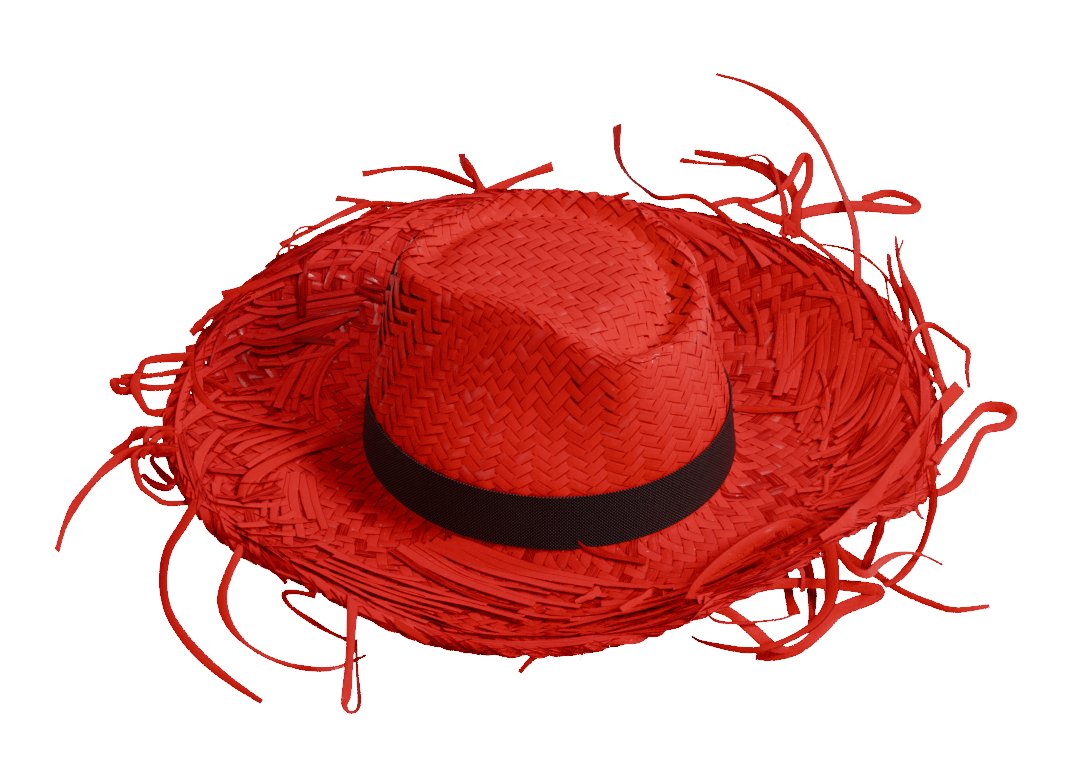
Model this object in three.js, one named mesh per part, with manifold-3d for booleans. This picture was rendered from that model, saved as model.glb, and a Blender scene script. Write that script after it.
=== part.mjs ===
// Plaited straw hat with a creased crown, a ribbon band and a frayed brim.
// Millimetres, +Z up. The hat rests on z = 0 and its wearer looks along -Y.
import * as THREE from 'three';
import Module from 'manifold-3d';

const wasm = await Module();
wasm.setup();

// Crown
const wall = 2;
const footLength = 190;
const footWidth = 177;
const crownHeight = 102;
const topLength = 154;
const topWidth = 142;
const rimRound = 9;
const ridgeShare = 0.7;
const bumpDrop = 1;
const creaseDepth = 15;
const wallBelly = 4;
const dentReach = 38;
const dentTurn = -18;
const dentSoftness = 5;
const dentDish = 4;
const dentFacing = 0.05;

// Brim
const brimWidth = 100;
const brimLift = 24;
const footRise = 7;
const seamGap = 0.4;
const restOut = 14;
const restWidth = 9;
const restDip = 0.5;
const bowlShare = 0.3;

// Ribbon band, and the lap of its end
const bandHeight = 32;
const bandThickness = 0.9;
const bandClearance = 0.3;
const bandTaper = 5;
const bandSeat = 0.5;
const lapLength = 16;
const lapTurn = 20;

// Turned hem and the loose ends that leave it
const hemWidth = 8;
const hemHeight = 4;
const hemFlat = 0.6;
const hemClearance = 0.4;
const stripWidth = 5;
const stripThickness = 1.2;
const strandLength = 100;
const strandRise = 20;
const floorClearance = 3;

// Splice ring, laid on the brim half way out
const spliceOut = 48;
const spliceWidth = 6;
const spliceThickness = 1;
const spliceClearance = 0.5;
const spliceLength = 40;

// How fine the facets are
const columns = 60;
const spanSteps = [1, 2, 2, 2, 3, 2, 2, 1, 3, 1, 3, 3];
const footSpan = 8;
const footRing = spanSteps.slice(0, footSpan).reduce((sum, steps) => sum + steps);
const seamRing = footRing + 1;
const strandSteps = 10;
const spliceSteps = 3;
const lapSteps = 3;

// Crown by turn, counted in degrees from the wearer's left towards the back.
// height: rim height as a share of crownHeight. groove: crease depth as a share of creaseDepth.
// bump: edge of the raised middle as a share of the rim's radius. belly: bulge of the wall, of wallBelly.
const crownRows = [
  { turn: 0, height: 1.04, groove: 0.0, bump: 0.6, belly: 0.0 },
  { turn: 22.5, height: 1.02, groove: 0.1, bump: 0.6, belly: 0.0 },
  { turn: 45, height: 0.96, groove: 0.5, bump: 0.6, belly: 0.2 },
  { turn: 67.5, height: 0.92, groove: 1.0, bump: 0.58, belly: 0.2 },
  { turn: 90, height: 0.91, groove: 1.0, bump: 0.58, belly: 0.0 },
  { turn: 112.5, height: 0.92, groove: 1.0, bump: 0.58, belly: -0.4 },
  { turn: 135, height: 0.99, groove: 1.0, bump: 0.62, belly: -0.2 },
  { turn: 157.5, height: 1.04, groove: 1.0, bump: 0.66, belly: 0.2 },
  { turn: 180, height: 1.02, groove: 1.0, bump: 0.7, belly: 0.4 },
  { turn: 202.5, height: 0.98, groove: 1.0, bump: 0.72, belly: 0.5 },
  { turn: 225, height: 0.98, groove: 0.9, bump: 0.72, belly: 0.5 },
  { turn: 247.5, height: 0.98, groove: 0.8, bump: 0.7, belly: 0.4 },
  { turn: 270, height: 0.98, groove: 0.5, bump: 0.66, belly: 0.4 },
  { turn: 292.5, height: 0.99, groove: 0.1, bump: 0.6, belly: 0.4 },
  { turn: 315, height: 1.01, groove: 0.0, bump: 0.6, belly: 0.2 },
  { turn: 337.5, height: 1.03, groove: 0.0, bump: 0.6, belly: 0.0 },
];

// Brim by turn. width: share of brimWidth. lift: height of the edge as a share of brimLift.
const brimRows = [
  { turn: 0, width: 0.98, lift: 1.0 },
  { turn: 22.5, width: 0.97, lift: 1.08 },
  { turn: 45, width: 0.95, lift: 1.65 },
  { turn: 67.5, width: 0.95, lift: 1.8 },
  { turn: 90, width: 1.02, lift: 0.65 },
  { turn: 112.5, width: 1.03, lift: 0.9 },
  { turn: 135, width: 1.03, lift: 1.2 },
  { turn: 157.5, width: 1.02, lift: 1.05 },
  { turn: 180, width: 1.0, lift: 0.95 },
  { turn: 202.5, width: 1.0, lift: 1.1 },
  { turn: 225, width: 1.01, lift: 1.05 },
  { turn: 247.5, width: 1.01, lift: 0.9 },
  { turn: 270, width: 1.01, lift: 0.5 },
  { turn: 292.5, width: 1.0, lift: 0.75 },
  { turn: 315, width: 0.96, lift: 0.8 },
  { turn: 337.5, width: 0.96, lift: 1.3 },
];

// Loose ends of the hem. turn: where one leaves. heading: its first direction, in degrees from
// straight out. length: share of strandLength. bends: degrees turned in each equal piece of it.
// tip: height of the end above the lowest one, and arch: hump on the way, as shares of strandRise.
const strandRows = [
  { turn: 292, heading: 12, length: 0.95, bends: [28, 7, 17, 12], tip: 0.1, arch: 0.2 },
  { turn: 272, heading: 19, length: 0.77, bends: [15, 68, 44, 125], tip: 0.4, arch: 0.3 },
  { turn: 276, heading: 20, length: 0.62, bends: [-10, 30, 110, 25], tip: 0.5, arch: 0.1 },
  { turn: 294, heading: -35, length: 0.32, bends: [12, 35, -9], tip: 0.5, arch: 0.2 },
  { turn: 299, heading: -47, length: 0.56, bends: [69, 83, 42, 50], tip: 0.6, arch: 0.1 },
  { turn: 309, heading: 42, length: 1.5, bends: [13, 33, 23, 12], tip: 0.1, arch: 0.2 },
  { turn: 323, heading: 29, length: 1.28, bends: [25, 47, 44, 54], tip: 0.1, arch: 0.2 },
  { turn: 338, heading: -62, length: 0.58, bends: [-6, 190, -30, 10], tip: 0.4, arch: 0.1 },
  { turn: 345, heading: 40, length: 1.05, bends: [-45, 120, 90, -20], tip: 0.2, arch: 0.1 },
  { turn: 40, heading: 44, length: 1.23, bends: [-17, 113, -22, -14], tip: 0.6, arch: 0.3 },
  { turn: 61, heading: 34, length: 0.8, bends: [-14, 28, 26, 10], tip: 0.4, arch: 0.4 },
  { turn: 92, heading: -71, length: 0.75, bends: [-7, -23, -2, -43], tip: 0.4, arch: 0.0 },
  { turn: 60, heading: 70, length: 0.64, bends: [-3, -7, -32, -15], tip: 0.7, arch: 0.0 },
  { turn: 92, heading: 38, length: 1.22, bends: [75, -196, -29, -5], tip: 0.6, arch: 0.2 },
  { turn: 123, heading: 62, length: 0.58, bends: [-94, -67, -18], tip: 0.4, arch: 0.3 },
  { turn: 114, heading: 60, length: 1.1, bends: [26, 1, -4], tip: 1.0, arch: 0.3 },
  { turn: 140, heading: 48, length: 2.35, bends: [15, 1, 21, 29], tip: 0.6, arch: 0.4 },
  { turn: 156, heading: -23, length: 1.1, bends: [-6, -29, 145, 79], tip: 0.7, arch: 0.2 },
  { turn: 163, heading: 45, length: 1.48, bends: [50, -27, -33, 0], tip: 0.4, arch: 0.3 },
  { turn: 157, heading: 23, length: 1.12, bends: [19, 35, 12, 19], tip: 0.6, arch: 0.3 },
  { turn: 205, heading: 15, length: 0.99, bends: [7, 22, 25, 20], tip: 0.6, arch: 0.2 },
  { turn: 218, heading: -60, length: 0.9, bends: [9, -7, -11], tip: 0.9, arch: 0.3 },
  { turn: 219, heading: 35, length: 0.6, bends: [-8, 1, 21], tip: 0.9, arch: 0.2 },
  { turn: 215, heading: 56, length: 0.95, bends: [5, 42, 1, -3], tip: 0.8, arch: 0.2 },
  { turn: 256, heading: 60, length: 0.3, bends: [0, 4, 1], tip: 0.6, arch: 0.1 },
];

// Fans of splice ends on the brim. from, to: turns of the first and last end. count: how many.
// heading: first direction in degrees from straight out. length: share of spliceLength.
// bend: degrees turned on the way.
const fanRows = [
  { from: 296, to: 322, count: 5, heading: 15, length: 1.0, bend: 0 },
  { from: 250, to: 282, count: 4, heading: 35, length: 0.9, bend: 20 },
  { from: 190, to: 232, count: 4, heading: 50, length: 0.8, bend: 10 },
  { from: 130, to: 172, count: 4, heading: 50, length: 0.8, bend: 10 },
  { from: 82, to: 118, count: 6, heading: 55, length: 1.0, bend: 30 },
  { from: 5, to: 62, count: 5, heading: 65, length: 0.9, bend: 20 },
];

const radians = THREE.MathUtils.degToRad;

// Smooth value of one column of a table whose rows go evenly round the hat
function around(rows, column, turn) {
  const count = rows.length;
  const place = ((turn / 360) * count + count) % count;
  const row = Math.floor(place);
  const at = (shift) => rows[(row + shift + count) % count][column];
  return curveThrough([at(-1), at(0), at(1), at(2)], place - row);
}

// Catmull-Rom value between the middle two of four numbers
function curveThrough([a, b, c, d], f) {
  const slopeIn = (c - a) / 2;
  const slopeOut = (d - b) / 2;
  const f2 = f * f;
  const f3 = f2 * f;
  return (2 * f3 - 3 * f2 + 1) * b + (f3 - 2 * f2 + f) * slopeIn
    + (3 * f2 - 2 * f3) * c + (f3 - f2) * slopeOut;
}

// Radius of an oval, long from front to back, at a turn
function oval(length, width, turn) {
  const across = Math.cos(radians(turn)) / (width / 2);
  const along = Math.sin(radians(turn)) / (length / 2);
  return 1 / Math.hypot(across, along);
}

// The smaller of two lengths with a soft change from one to the other
function softMin(a, b, softness) {
  const least = Math.min(a, b);
  const mix = Math.exp((least - a) / softness) + Math.exp((least - b) / softness);
  return least - softness * Math.log(mix);
}

// Radius of the crown's rim: the top oval, cut by the straight ridge over the dent
function rimRadius(turn) {
  const facing = Math.cos(radians(turn - dentTurn));
  const top = oval(topLength, topWidth, turn);
  return facing > dentFacing ? softMin(top, dentReach / facing, dentSoftness) : top;
}

// How far a turn lies inside the dent, from 0 to 1
function dentShare(turn) {
  const top = oval(topLength, topWidth, turn);
  return (top - rimRadius(turn)) / (top - dentReach);
}

// The upper skin's knots at a turn, from the middle of the crown to the edge of the brim
function knots(turn) {
  const row = (column) => around(crownRows, column, turn);
  const rim = rimRadius(turn);
  const foot = oval(footLength, footWidth, turn);
  const height = crownHeight * row('height') + footRise;
  const middle = crownHeight + footRise;
  const floor = THREE.MathUtils.lerp(middle, height - creaseDepth, row('groove'));
  const bump = row('bump') * rim;
  const ridge = rim - rimRound * ridgeShare;
  const bandTop = foot - bandHeight * Math.tan(radians(bandTaper));
  const shoulder = height - rimRound;
  const bandTopZ = footRise + bandHeight;
  const dent = dentShare(turn);
  const bulge = wallBelly * row('belly') - dentDish * dent;
  const edge = foot + brimWidth * around(brimRows, 'width', turn) - hemWidth;
  const lift = wall + brimLift * around(brimRows, 'lift', turn);
  const low = wall - restDip;
  const half = low + (lift - low) * bowlShare;
  return [
    [0, middle],
    [bump / 2, middle],
    [bump, middle - bumpDrop],
    [(bump + ridge) / 2, Math.min(floor, (middle + height) / 2)],
    [ridge, height],
    [rim, shoulder],
    [(rim + bandTop) / 2 + bulge, (shoulder + bandTopZ) / 2],
    [bandTop, bandTopZ],
    [foot, footRise],
    [foot + restOut, low],
    [foot + restOut + restWidth, low],
    [(foot + restOut + restWidth + edge) / 2, half],
    [edge, lift],
  ];
}

// Points of the upper skin at a turn, through the knots. Two points lie close together at the
// crown's foot, one on each side of the seam between the crown and the brim.
function profile(turn) {
  const line = knots(turn);
  const mirrored = [-line[1][0], line[1][1]];
  const last = line.length - 1;
  const beyond = [2 * line[last][0] - line[last - 1][0], 2 * line[last][1] - line[last - 1][1]];
  const all = [mirrored, ...line, beyond];
  const points = [];
  spanSteps.forEach((steps, span) => {
    for (let i = 0; i < steps; i += 1) {
      points.push(between(all, span, i / steps));
      if (span === footSpan && i === 0) {
        points.push(between(all, span, seamGap / restOut));
      }
    }
  });
  points.push(line[last]);
  return points;
}

// Point between two neighbouring knots
function between(all, span, f) {
  const four = all.slice(span, span + 4);
  return [curveThrough(four.map((p) => p[0]), f), curveThrough(four.map((p) => p[1]), f)];
}

// Point at a turn, a radius and a height
function place(turn, [radius, z]) {
  return new THREE.Vector3(radius * Math.cos(radians(turn)), radius * Math.sin(radians(turn)), z);
}

// Upper skin as rows of points: skin[ring][column]
function upperSkin() {
  const lines = Array.from({ length: columns }, (_, i) => profile((i * 360) / columns));
  return lines[0].map((_, ring) => lines.map((line, i) => place((i * 360) / columns, line[ring])));
}

// Lower skin: the upper one moved in by the wall, and flat where the hat rests.
// In the middle of the crown and at the brim's edge it lies straight below.
function lowerSkin(upper) {
  const last = upper.length - 1;
  return upper.map((ring, j) => ring.map((point, i) => {
    if (j === 0 || j === last) {
      return new THREE.Vector3(point.x, point.y, point.z - wall);
    }
    const before = upper[j === seamRing ? j - 2 : j - 1][i];
    const after = upper[j === footRing ? j + 2 : j + 1][i];
    const along = after.clone().sub(before);
    const side = ring[(i + 1) % columns].clone().sub(ring[(i + columns - 1) % columns]);
    const normal = along.cross(side).normalize();
    const moved = point.clone().addScaledVector(normal, -wall);
    moved.z = Math.max(moved.z, 0);
    return moved;
  }));
}

// A closed mesh from two skins. A first ring with one point closes itself, and any other is an edge.
function shellGeometry(upper, lower) {
  const points = [];
  const index = [];
  const number = (point) => points.push(point) - 1;
  const up = upper.map((ring) => ring.map(number));
  const down = lower.map((ring) => ring.map(number));
  const at = (ring, i) => ring[i % ring.length];
  for (let i = 0; i < columns; i += 1) {
    for (let j = 1; j < up.length; j += 1) {
      quad(index, at(up[j - 1], i), at(up[j], i), at(up[j], i + 1), at(up[j - 1], i + 1));
      quad(index, at(down[j - 1], i + 1), at(down[j], i + 1), at(down[j], i), at(down[j - 1], i));
    }
    const edge = up.length - 1;
    quad(index, at(up[edge], i), at(down[edge], i), at(down[edge], i + 1), at(up[edge], i + 1));
    if (up[0].length > 1) {
      quad(index, at(up[0], i + 1), at(down[0], i + 1), at(down[0], i), at(up[0], i));
    }
  }
  return geometryFrom(points, index);
}

// Two triangles, or one where two corners are the same point
function quad(index, a, b, c, d) {
  if (a !== d && a !== b) {
    index.push(a, b, c, a, c, d);
  } else {
    index.push(a, b, c);
  }
}

// A mesh geometry from its points and the numbers of each triangle's corners
function geometryFrom(points, index) {
  const geometry = new THREE.BufferGeometry();
  const values = points.flatMap((point) => [point.x, point.y, point.z]);
  geometry.setAttribute('position', new THREE.Float32BufferAttribute(values, 3));
  geometry.setIndex(index);
  geometry.computeVertexNormals();
  return geometry;
}

// A closed mesh from sections with the same number of corners; a ring closes on itself
function sweptGeometry(sections, closed) {
  const sides = sections[0].length;
  const index = [];
  const last = closed ? sections.length : sections.length - 1;
  for (let i = 0; i < last; i += 1) {
    const here = i * sides;
    const next = ((i + 1) % sections.length) * sides;
    for (let k = 0; k < sides; k += 1) {
      const turned = (k + 1) % sides;
      quad(index, here + k, next + k, next + turned, here + turned);
    }
  }
  if (!closed) {
    const end = (sections.length - 1) * sides;
    for (let k = 2; k < sides; k += 1) {
      index.push(0, k - 1, k, end, end + k, end + k - 1);
    }
  }
  return geometryFrom(sections.flat(), index);
}

// Ribbon section on the crown's wall, from one layer's depth to another: bottom, top, top, bottom
function bandSection(turn, inner, outer) {
  const foot = oval(footLength, footWidth, turn);
  const slope = Math.tan(radians(bandTaper));
  const at = (rise, out) => place(turn, [foot - rise * slope + out, footRise + rise]);
  const top = bandHeight - bandSeat;
  return [at(bandSeat, inner), at(bandSeat, outer), at(top, outer), at(top, inner)];
}

// Ribbon band: a ring round the crown's foot, and a second layer where its end laps over
function bandGeometry() {
  const outer = bandClearance + bandThickness;
  const turns = Array.from({ length: columns }, (_, i) => (i * 360) / columns);
  const ring = sweptGeometry(turns.map((turn) => bandSection(turn, bandClearance, outer)), true);
  const half = THREE.MathUtils.radToDeg(lapLength / footWidth);
  const lap = Array.from({ length: lapSteps + 1 }, (_, i) => {
    const turn = lapTurn - half + (2 * half * i) / lapSteps;
    return bandSection(turn, bandClearance + bandThickness / 2, outer + bandThickness);
  });
  return fused([ring, sweptGeometry(lap, false)]);
}

// Middle of the hem at a turn, just outside the edge of the plait
function hemCentre(turn) {
  const edge = place(turn, knots(turn).at(-1));
  const ahead = place(turn + 1, knots(turn + 1).at(-1));
  const behind = place(turn - 1, knots(turn - 1).at(-1));
  const out = new THREE.Vector3(ahead.y - behind.y, behind.x - ahead.x, 0).normalize();
  const centre = edge.addScaledVector(out, hemClearance + hemWidth / 2);
  centre.z -= wall / 2;
  return { centre, out };
}

// Six corners of the flat roll round the hem's middle
function hemSection(turn) {
  const { centre, out } = hemCentre(turn);
  const corner = (side, rise) => {
    const point = centre.clone().addScaledVector(out, (side * hemWidth) / 2);
    point.z += (rise * hemHeight) / 2;
    return point;
  };
  const inner = [corner(-1, 0), corner(-hemFlat, -1), corner(hemFlat, -1)];
  const outer = [corner(1, 0), corner(hemFlat, 1), corner(-hemFlat, 1)];
  return [...inner, ...outer];
}

// Directions and places along a strip that turns by some degrees in each equal piece of its length
function bentLine(start, direction, length, bends, steps) {
  const line = [{ point: start.clone(), direction }];
  const step = length / steps;
  for (let i = 0; i < steps; i += 1) {
    const piece = Math.min(Math.floor(((i + 0.5) / steps) * bends.length), bends.length - 1);
    const turned = (bends[piece] * bends.length) / steps;
    const before = line[i];
    const heading = radians(before.direction + turned / 2);
    const point = before.point.clone();
    point.x += step * Math.cos(heading);
    point.y += step * Math.sin(heading);
    line.push({ point, direction: before.direction + turned });
  }
  return line;
}

// Four corners of a flat strip's section, whose height is given at each side of it
function stripSection({ point, direction }, width, thickness, bottomAt) {
  const side = new THREE.Vector3(-Math.sin(radians(direction)), Math.cos(radians(direction)), 0);
  const left = point.clone().addScaledVector(side, width / 2);
  const right = point.clone().addScaledVector(side, -width / 2);
  left.z = bottomAt(left);
  right.z = bottomAt(right);
  const above = (corner) => new THREE.Vector3(corner.x, corner.y, corner.z + thickness);
  return [left, right, above(right), above(left)];
}

// One loose end, from the middle of the hem to its tip
function strandGeometry(row) {
  const { centre } = hemCentre(row.turn);
  const length = strandLength * row.length;
  const line = bentLine(centre, row.turn + row.heading, length, row.bends, strandSteps);
  const tip = floorClearance + strandRise * row.tip;
  const sections = line.map((station, i) => {
    const f = i / strandSteps;
    const height = THREE.MathUtils.lerp(centre.z - stripThickness / 2, tip, f)
      + strandRise * row.arch * 4 * f * (1 - f);
    return stripSection(station, stripWidth, stripThickness, () => height);
  });
  return sweptGeometry(sections, false);
}

// Height of the upper skin of the brim under a point
function brimHeight(point) {
  const turn = THREE.MathUtils.radToDeg(Math.atan2(point.y, point.x));
  const radius = Math.hypot(point.x, point.y);
  const line = profile(turn).slice(seamRing);
  const next = line.findIndex(([reach]) => reach > radius);
  const end = next < 1 ? line.length - 1 : next;
  const [innerReach, innerZ] = line[end - 1];
  const [outerReach, outerZ] = line[end];
  return THREE.MathUtils.lerp(innerZ, outerZ, (radius - innerReach) / (outerReach - innerReach));
}

// Underside of the splice ring, and of the ends that leave it half a thickness higher
const onBrim = (point) => brimHeight(point) + spliceClearance;
const onSplice = (point) => onBrim(point) + spliceThickness / 2;

// Middle of the splice ring at a turn
function spliceCentre(turn) {
  return place(turn, [oval(footLength, footWidth, turn) + spliceOut, 0]);
}

// Splice ring with its fans of ends
function spliceGeometry() {
  const turns = Array.from({ length: columns }, (_, i) => (i * 360) / columns);
  const ring = turns.map((turn) => {
    const station = { point: spliceCentre(turn), direction: turn + 90 };
    return stripSection(station, spliceWidth, spliceThickness, onBrim);
  });
  const ends = fanRows.flatMap((row) => Array.from({ length: row.count }, (_, i) => {
    const turn = THREE.MathUtils.lerp(row.from, row.to, i / (row.count - 1));
    const direction = turn + row.heading;
    const line = bentLine(spliceCentre(turn), direction, spliceLength * row.length, [row.bend], spliceSteps);
    const sections = line.map((station) => stripSection(station, stripWidth, spliceThickness, onSplice));
    return sweptGeometry(sections, false);
  }));
  return fused([sweptGeometry(ring, true), ...ends]);
}

// Hem with the loose ends that leave it
function hemGeometry() {
  const turns = Array.from({ length: columns }, (_, i) => (i * 360) / columns);
  return fused([sweptGeometry(turns.map(hemSection), true), ...strandRows.map(strandGeometry)]);
}

// Closed meshes joined into one closed mesh
function fused(geometries) {
  const solids = geometries.map((geometry) => new wasm.Manifold(new wasm.Mesh({
    numProp: 3,
    vertProperties: geometry.getAttribute('position').array,
    triVerts: Uint32Array.from(geometry.getIndex().array),
  })));
  const mesh = wasm.Manifold.union(solids).getMesh();
  const geometry = new THREE.BufferGeometry();
  geometry.setAttribute('position', new THREE.BufferAttribute(mesh.vertProperties, mesh.numProp));
  geometry.setIndex(Array.from(mesh.triVerts));
  geometry.computeVertexNormals();
  return geometry;
}

// Adds one named piece to the hat
function addPiece(name, geometry, material) {
  const mesh = new THREE.Mesh(geometry, material);
  mesh.name = name;
  group.add(mesh);
}

const straw = new THREE.MeshStandardMaterial({ color: 0xd01a14, roughness: 0.45, metalness: 0 });
const looseStraw = new THREE.MeshStandardMaterial({ color: 0xdc2a1c, roughness: 0.4, metalness: 0 });
const ribbon = new THREE.MeshStandardMaterial({ color: 0x17100f, roughness: 0.6, metalness: 0 });

const group = new THREE.Group();
const upper = upperSkin();
const lower = lowerSkin(upper);
const crownPart = (skin) => [[skin[0][0]], ...skin.slice(1, seamRing)];
const brimPart = (skin) => skin.slice(seamRing);
addPiece('plaited_crown', shellGeometry(crownPart(upper), crownPart(lower)), straw);
addPiece('plaited_brim', shellGeometry(brimPart(upper), brimPart(lower)), straw);
addPiece('hat_band', bandGeometry(), ribbon);
addPiece('splice_fringe', spliceGeometry(), looseStraw);
addPiece('frayed_hem', hemGeometry(), looseStraw);

// The whole hat's box, loose ends and all, is centred on the origin
const boxMiddle = new THREE.Box3().setFromObject(group).getCenter(new THREE.Vector3());
group.position.set(-boxMiddle.x, -boxMiddle.y, 0);

export default group;
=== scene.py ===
from math import cos, radians, sin

import bpy
import numpy as np
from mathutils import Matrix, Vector


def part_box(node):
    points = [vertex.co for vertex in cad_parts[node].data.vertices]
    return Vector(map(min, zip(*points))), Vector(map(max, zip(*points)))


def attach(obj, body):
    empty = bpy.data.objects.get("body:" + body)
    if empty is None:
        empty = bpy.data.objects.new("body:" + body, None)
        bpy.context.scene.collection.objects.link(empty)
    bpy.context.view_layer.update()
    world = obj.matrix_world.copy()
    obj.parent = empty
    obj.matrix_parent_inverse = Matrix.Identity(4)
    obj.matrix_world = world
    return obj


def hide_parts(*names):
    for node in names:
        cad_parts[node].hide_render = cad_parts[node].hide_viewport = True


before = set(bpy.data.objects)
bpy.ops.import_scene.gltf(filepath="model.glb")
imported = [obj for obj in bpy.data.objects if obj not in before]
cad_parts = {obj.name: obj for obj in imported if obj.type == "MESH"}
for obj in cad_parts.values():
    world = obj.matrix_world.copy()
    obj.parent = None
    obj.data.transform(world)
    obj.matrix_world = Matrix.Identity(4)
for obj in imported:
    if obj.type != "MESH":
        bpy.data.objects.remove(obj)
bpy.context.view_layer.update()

# Camera, at the photograph's angle
# It stands behind the wearer's left shoulder and looks down on the hat from two metres.
# The hat's axis lies in the middle of the ribbon band's box.
band_low, band_high = (np.array(corner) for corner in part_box("hat_band"))
hat_axis = (band_low[:2] + band_high[:2]) / 2
VIEW_TURN, VIEW_HEIGHT, VIEW_DISTANCE = radians(106), radians(38.5), 2.0
AIM_HEIGHT, MILLIMETRE = 7, 0.001
LENS, SENSOR_WIDTH, LENS_SHIFT = 130.2, 36, (-0.0083, 0.0519)

camera_data = bpy.data.cameras.new("camera")
camera_data.lens, camera_data.sensor_width = LENS, SENSOR_WIDTH
camera_data.shift_x, camera_data.shift_y = LENS_SHIFT
camera = bpy.data.objects.new("camera", camera_data)
bpy.context.scene.collection.objects.link(camera)
bpy.context.scene.camera = camera
backward = Vector((sin(VIEW_TURN) * cos(VIEW_HEIGHT), -cos(VIEW_TURN) * cos(VIEW_HEIGHT), sin(VIEW_HEIGHT)))
camera.location = Vector((*hat_axis, AIM_HEIGHT * MILLIMETRE)) + backward * VIEW_DISTANCE
camera.rotation_euler = backward.to_track_quat("Z", "Y").to_euler()


# Crown of plaited palm strips
# Flat strips, split from dyed palm leaf, are plaited on the bias from the middle of the top.
# The plait turns down over the rim and its strips wind round the wall in both directions.
WALL = 2.0
CROWN = {
    "height": [1.04, 1.02, 0.97, 0.94, 0.94, 0.96, 1.03, 1.07, 1.07, 1.06, 1.04, 1.02, 1.01, 1.01, 1.02, 1.04],
    "groove": [0, 0.1, 0.5, 1, 1, 1, 1, 1, 1, 1, 0.9, 0.8, 0.5, 0.1, 0, 0],
    "bump": [0.6, 0.6, 0.6, 0.58, 0.58, 0.58, 0.62, 0.66, 0.7, 0.72, 0.72, 0.7, 0.66, 0.6, 0.6, 0.6],
    "belly": [0, 0, 0.2, 0.2, 0, -0.4, -0.2, 0.2, 0.4, 0.5, 0.5, 0.4, 0.4, 0.4, 0.2, 0],
}
BRIM = {
    "width": [0.98, 0.97, 0.95, 0.95, 1.02, 1.03, 1.03, 1.02, 1, 1, 1.01, 1.01, 1.01, 1, 0.96, 0.96],
    "lift": [1, 1.08, 1.65, 1.8, 0.65, 0.9, 1.2, 1.05, 0.95, 1.1, 1.05, 0.9, 0.5, 0.75, 0.8, 1.3],
}
FOOT_LENGTH, FOOT_WIDTH, FOOT_RISE = 190, 177, 7
CROWN_HEIGHT, TOP_LENGTH, TOP_WIDTH, RIM_ROUND = 102, 160, 148, 9
CREASE_DEPTH, WALL_BELLY, DENT_REACH, DENT_TURN, DENT_SOFTNESS, DENT_DISH = 15, 4, 39, -15, 5, 4
BAND_HEIGHT, BAND_TAPER = 32, 5
BRIM_WIDTH, BRIM_LIFT, HEM_WIDTH = 100, 24, 8
REST_OUT, REST_WIDTH, REST_DIP, BOWL_SHARE = 14, 9, 0.5, 0.3
SPANS, SPAN_SAMPLES, BAND_SPAN, FOOT_SPAN, SKIN_ROWS = 12, 12, 7, 8, 200
SHARES = np.linspace(0, 2, 2 * SKIN_ROWS + 1)
RIM_SOFTNESS, SOFT_TO, HARD_FROM = 150, 0.62, 0.8
LOWEST_SKIN, LOWEST_POINT = 1.7, 0.03


def curve_through(a, b, c, d, f):
    rise, fall = (c - a) / 2, (d - b) / 2
    return ((2 * f**3 - 3 * f**2 + 1) * b + (f**3 - 2 * f**2 + f) * rise
            + (3 * f**2 - 2 * f**3) * c + (f**3 - f**2) * fall)


def around(column, turn):
    values = np.asarray(column, dtype=float)
    place = (turn / 360 * len(values)) % len(values)
    row = np.floor(place).astype(int)
    a, b, c, d = (values[(row + shift) % len(values)] for shift in (-1, 0, 1, 2))
    return curve_through(a, b, c, d, place - row)


def oval(length, width, turn):
    return 1 / np.hypot(np.cos(np.radians(turn)) / (width / 2), np.sin(np.radians(turn)) / (length / 2))


# Points at a distance from the hat's axis, at a turn in degrees and at a level
def placed(reach, turn, level):
    return np.stack([reach * np.cos(np.radians(turn)), reach * np.sin(np.radians(turn)), level], axis=-1)


def rim_radius(turn):
    top = oval(TOP_LENGTH, TOP_WIDTH, turn)
    facing = np.cos(np.radians(turn - DENT_TURN))
    ridge = DENT_REACH / np.maximum(facing, 0.05)
    least = np.minimum(top, ridge)
    mix = np.exp((least - top) / DENT_SOFTNESS) + np.exp((least - ridge) / DENT_SOFTNESS)
    return np.where(facing > 0.05, least - DENT_SOFTNESS * np.log(mix), top)


def hat_knots(turn):
    crown = {name: around(column, turn) for name, column in CROWN.items()}
    rim = rim_radius(turn)
    top = oval(TOP_LENGTH, TOP_WIDTH, turn)
    foot = oval(FOOT_LENGTH, FOOT_WIDTH, turn)
    height = CROWN_HEIGHT * crown["height"] + FOOT_RISE
    middle = np.full_like(turn, CROWN_HEIGHT + FOOT_RISE)
    floor = middle + (height - CREASE_DEPTH - middle) * crown["groove"]
    bump, ridge = crown["bump"] * rim, rim - RIM_ROUND * 0.7
    band_top = foot - BAND_HEIGHT * np.tan(np.radians(BAND_TAPER))
    band_top_z = np.full_like(turn, FOOT_RISE + BAND_HEIGHT)
    bulge = WALL_BELLY * crown["belly"] - DENT_DISH * (top - rim) / (top - DENT_REACH)
    edge = foot + BRIM_WIDTH * around(BRIM["width"], turn) - HEM_WIDTH
    lift = WALL + BRIM_LIFT * around(BRIM["lift"], turn)
    low = np.full_like(turn, WALL - REST_DIP)
    rest = foot + REST_OUT
    line = [
        (0 * turn, middle),
        (bump / 2, middle),
        (bump, middle - 1),
        ((bump + ridge) / 2, np.minimum(floor, (middle + height) / 2)),
        (ridge, height),
        (rim, height - RIM_ROUND),
        ((rim + band_top) / 2 + bulge, (height - RIM_ROUND + band_top_z) / 2),
        (band_top, band_top_z),
        (foot, np.full_like(turn, FOOT_RISE)),
        (rest, low),
        (rest + REST_WIDTH, low),
        ((rest + REST_WIDTH + edge) / 2, low + (lift - low) * BOWL_SHARE),
        (edge, lift),
    ]
    return np.stack([np.stack(knot, axis=-1) for knot in line])


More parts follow.
